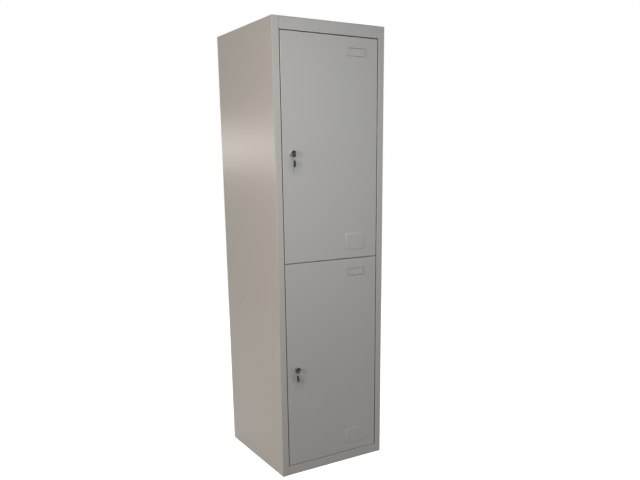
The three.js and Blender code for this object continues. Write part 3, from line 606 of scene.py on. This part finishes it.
def makeCamScrew(level, s):
    node = level + "_cam_screw"
    lowCorner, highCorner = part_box(node)
    centre = (lowCorner + highCorner) / 2
    reach = (highCorner.x - lowCorner.x) / 2
    long = highCorner.y - lowCorner.y
    seat = long - s["head"]
    dome = roundCorner(reach, seat + s["rim"], s["domeWide"], s["head"] - s["rim"], s["domeSteps"])
    bm = spun([(0.0, 0.0), (s["shank"] - s["tip"], 0.0), (s["shank"], s["tip"]), (s["shank"], seat),
               (reach, seat)] + dome, s["steps"])
    rim = [e for e in bm.edges if e.is_boundary]
    start = bmesh.ops.create_grid(bm, x_segments=1, y_segments=1, size=s["slot"],
                                  matrix=Matrix.Translation((0, 0, long)))["verts"]
    core = start[0].link_faces[0]
    cross = [core]
    for edge in core.edges[:]:
        out = (edge.verts[0].co + edge.verts[1].co) / 2 - Vector((0, 0, long))
        arm = bmesh.ops.extrude_edge_only(bm, edges=[edge])["geom"]
        bmesh.ops.translate(bm, vec=out.normalized() * (s["arm"] - s["slot"]),
                            verts=[item for item in arm if isinstance(item, bmesh.types.BMVert)])
        cross += [item for item in arm if isinstance(item, bmesh.types.BMFace)]
    outline = [e for face in cross for e in face.edges if e.is_boundary]
    bmesh.ops.triangle_fill(bm, edges=rim + outline, use_beauty=True, use_dissolve=False)
    sunk = bmesh.ops.extrude_face_region(bm, geom=cross)["geom"]
    bmesh.ops.translate(bm, vec=(0, 0, -s["deep"]),
                        verts=[item for item in sunk if isinstance(item, bmesh.types.BMVert)])
    bmesh.ops.delete(bm, geom=[f for f in cross if f.is_valid], context="FACES_ONLY")
    bmesh.ops.recalc_face_normals(bm, faces=bm.faces)
    layAlong(bm, -90, "X", (centre.x, lowCorner.y, centre.z))
    addPiece(level + "_cam_screw_cross", bm, node, s["smooth"])


for level in levels:
    makeCamScrew(level, camScrew)
print("cam screws cut")

# door buffers: soft domes on the stop lip
buffer = {"skirt": 0.0011, "foot": 0.0002, "steps": 40, "domeSteps": 8, "smooth": 40.0}


def makeBuffer(node, b):
    lowCorner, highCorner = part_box(node)
    centre = (lowCorner + highCorner) / 2
    reach = (highCorner.x - lowCorner.x) / 2
    tall = highCorner.y - lowCorner.y
    dome = roundCorner(reach, b["skirt"], reach, tall - b["skirt"], b["domeSteps"])
    # the dome ends on its axis
    dome[-1] = (0.0, tall)
    bm = spun([(0.0, 0.0), (reach - b["foot"], 0.0), (reach, b["foot"])] + dome, b["steps"])
    layAlong(bm, 90, "X", (centre.x, highCorner.y, centre.z))
    addPiece(node + "_domed", bm, node, b["smooth"])


for level in levels:
    makeBuffer(level + "_door_top_buffer", buffer)
    makeBuffer(level + "_door_bottom_buffer", buffer)
print("buffers moulded")

# coat rods: plated tube with broken ends
rod = {"wall": 0.0012, "bead": 0.0003, "steps": 64, "smooth": 40.0}


def makeRod(level, r):
    node = level + "_coat_rod"
    lowCorner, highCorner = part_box(node)
    centre = (lowCorner + highCorner) / 2
    outer = (highCorner.z - lowCorner.z) / 2
    inner = outer - r["wall"]
    half = (highCorner.x - lowCorner.x) / 2
    bm = spun([(inner, -half), (outer - r["bead"], -half), (outer, r["bead"] - half),
               (outer, half - r["bead"]), (outer - r["bead"], half), (inner, half), (inner, -half)],
              r["steps"])
    layAlong(bm, 90, "Y", centre)
    addPiece(level + "_rod_tube", bm, node, r["smooth"])


for level in levels:
    makeRod(level, rod)
print("coat rods drawn")

# split rings: two flat turns side by side, as wide as the wire of the frame's ring
splitRing = {
    "wire": 0.00075, "turnWidth": 0.00068, "pitch": 0.00074, "deep": 0.00125, "turns": 1.96, "steps": 110,
    "start": 205, "edge": 0.00014, "turn": 60, "edgeSteps": 2, "smooth": 60.0,
}


def makeSplitRing(level, r):
    node = level + "_key_ring"
    lowCorner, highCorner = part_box(node)
    centre = (lowCorner + highCorner) / 2
    reach = (highCorner.x - lowCorner.x) / 2 - r["wire"]
    advance = r["pitch"] * r["turns"] / 2
    bm = bmesh.new()
    section = bmesh.ops.create_grid(bm, x_segments=1, y_segments=1, size=0.5)["verts"]
    bmesh.ops.scale(bm, vec=(r["deep"], r["turnWidth"], 1.0), verts=section)
    bmesh.ops.delete(bm, geom=bm.faces[:], context="FACES_ONLY")
    bmesh.ops.translate(bm, vec=(reach, -advance / 2, 0.0), verts=section)
    bmesh.ops.spin(bm, geom=bm.verts[:] + bm.edges[:], cent=(0, 0, 0), axis=(0, 1, 0),
                   dvec=(0, advance / r["steps"], 0), angle=math.radians(360 * r["turns"]),
                   steps=r["steps"], use_merge=False)
    bmesh.ops.holes_fill(bm, edges=bm.edges[:], sides=4)
    layAlong(bm, r["start"], "Y", centre)
    bmesh.ops.recalc_face_normals(bm, faces=bm.faces)
    roundEdges(bm, r["edge"], r["turn"], r["edgeSteps"])
    addPiece(level + "_split_ring", bm, node, r["smooth"])


for level in levels:
    makeSplitRing(level, splitRing)
print("split rings made")

# floor, backdrop and light
studio = {
    "floor": (0.19, 0.19, 0.19), "seenFloor": 0.82, "seenTint": (0.70, 0.70, 0.70), "floorReach": 14.0,
    "paperGrain": 30.0, "paperRough": (0.75, 0.85), "paperGloss": 0.1, "world": 0.30,
    "worldTint": (0.985, 0.99, 1.0),
}
lamps = {
    "frontTop": {"place": (-0.5, -1.5, 2.3), "aim": (0.05, -0.25, 0.92), "size": (1.0, 0.5), "power": 6.6,
                 "spread": 90.0, "colour": (0.90, 0.955, 1.0)},
    "leftStrip": {"place": (-2.9, -0.8, 1.3), "aim": (-0.25, 0.0, 1.3), "size": (0.35, 0.25), "power": 18.0,
                  "spread": 180.0, "colour": (1.0, 0.63, 0.27)},
    "midLeft": {"place": (-1.9, -1.5, 1.35), "aim": (0.0, -0.25, 1.35), "size": (0.3, 0.25), "power": 20.0,
                "spread": 180.0, "colour": (1.0, 0.87, 0.70)},
    "backStrip": {"place": (-1.75, 3.1, 1.42), "aim": (-0.25, 0.0, 1.36), "size": (1.2, 0.3), "power": 4.2,
                  "spread": 180.0, "colour": (1.0, 0.94, 0.84)},
    "rightFill": {"place": (2.6, 0.6, 1.5), "aim": (0.25, 0.0, 1.1), "size": (1.6, 1.2), "power": 20.0,
                  "spread": 180.0, "colour": (1.0, 0.99, 0.97)},
    "backFill": {"place": (0.9, 3.0, 1.7), "aim": (0.0, 0.25, 1.1), "size": (1.6, 1.2), "power": 30.0,
                 "spread": 180.0, "colour": (0.97, 0.99, 1.0)},
}


# 1 for a camera, mirror or glass ray
def looked(tree):
    rays = tree.nodes.new("ShaderNodeLightPath")
    total = rays.outputs["Is Camera Ray"]
    for kind in ("Is Glossy Ray", "Is Transmission Ray"):
        either = tree.nodes.new("ShaderNodeMath")
        either.operation = "MAXIMUM"
        tree.links.new(total, either.inputs[0])
        tree.links.new(rays.outputs[kind], either.inputs[1])
        total = either.outputs["Value"]
    return total


# white paper to the camera and in reflections, which keeps the object's shadow, and plain grey as a bounce
def makeFloor(s):
    bm = bmesh.new()
    bmesh.ops.create_grid(bm, x_segments=1, y_segments=1, size=s["floorReach"])
    mesh = bpy.data.meshes.new("floor")
    bm.to_mesh(mesh)
    bm.free()
    floor = bpy.data.objects.new("floor", mesh)
    bpy.context.scene.collection.objects.link(floor)
    mat, tree, shader, coords = newMaterial("floorPaper")
    shader.inputs["Base Color"].default_value = (*s["floor"], 1.0)
    shader.inputs["Specular IOR Level"].default_value = s["paperGloss"]
    rough = spread(tree, noise(tree, coords, s["paperGrain"], detail=3.0), *s["paperRough"])
    tree.links.new(rough, shader.inputs["Roughness"])
    paper = tree.nodes.new("ShaderNodeBsdfDiffuse")
    paper.inputs["Color"].default_value = (*s["seenTint"], 1.0)
    glow = tree.nodes.new("ShaderNodeEmission")
    glow.inputs["Strength"].default_value = s["seenFloor"]
    seen = tree.nodes.new("ShaderNodeAddShader")
    tree.links.new(paper.outputs["BSDF"], seen.inputs[0])
    tree.links.new(glow.outputs["Emission"], seen.inputs[1])
    mix = tree.nodes.new("ShaderNodeMixShader")
    tree.links.new(looked(tree), mix.inputs["Fac"])
    tree.links.new(shader.outputs["BSDF"], mix.inputs[1])
    tree.links.new(seen.outputs["Shader"], mix.inputs[2])
    tree.links.new(mix.outputs["Shader"], tree.nodes["Material Output"].inputs["Surface"])
    mesh.materials.append(mat)


def makeWorld(s):
    world = bpy.data.worlds.new("studio")
    bpy.context.scene.world = world
    world.use_nodes = True
    tree = world.node_tree
    room = tree.nodes["Background"]
    room.inputs["Color"].default_value = (*s["worldTint"], 1.0)
    room.inputs["Strength"].default_value = s["world"]
    seen = tree.nodes.new("ShaderNodeBackground")
    seen.inputs["Color"].default_value = (1.0, 1.0, 1.0, 1.0)
    seen.inputs["Strength"].default_value = 1.0
    mix = tree.nodes.new("ShaderNodeMixShader")
    tree.links.new(looked(tree), mix.inputs["Fac"])
    tree.links.new(room.outputs["Background"], mix.inputs[1])
    tree.links.new(seen.outputs["Background"], mix.inputs[2])
    tree.links.new(mix.outputs["Shader"], tree.nodes["World Output"].inputs["Surface"])


def makeLamp(name, lamp):
    data = bpy.data.lights.new(name, "AREA")
    data.shape = "RECTANGLE"
    data.size, data.size_y = lamp["size"]
    data.energy = lamp["power"]
    data.spread = math.radians(lamp["spread"])
    data.color = lamp["colour"]
    obj = bpy.data.objects.new(name, data)
    bpy.context.scene.collection.objects.link(obj)
    aim = Vector(lamp["aim"]) - Vector(lamp["place"])
    obj.matrix_world = Matrix.Translation(lamp["place"]) @ aim.to_track_quat("-Z", "Y").to_matrix().to_4x4()
    obj.visible_camera = False


makeFloor(studio)
makeWorld(studio)
for lampName, lampValues in lamps.items():
    makeLamp(lampName, lampValues)
bpy.context.scene.view_settings.view_transform = "Standard"
print("studio lit")
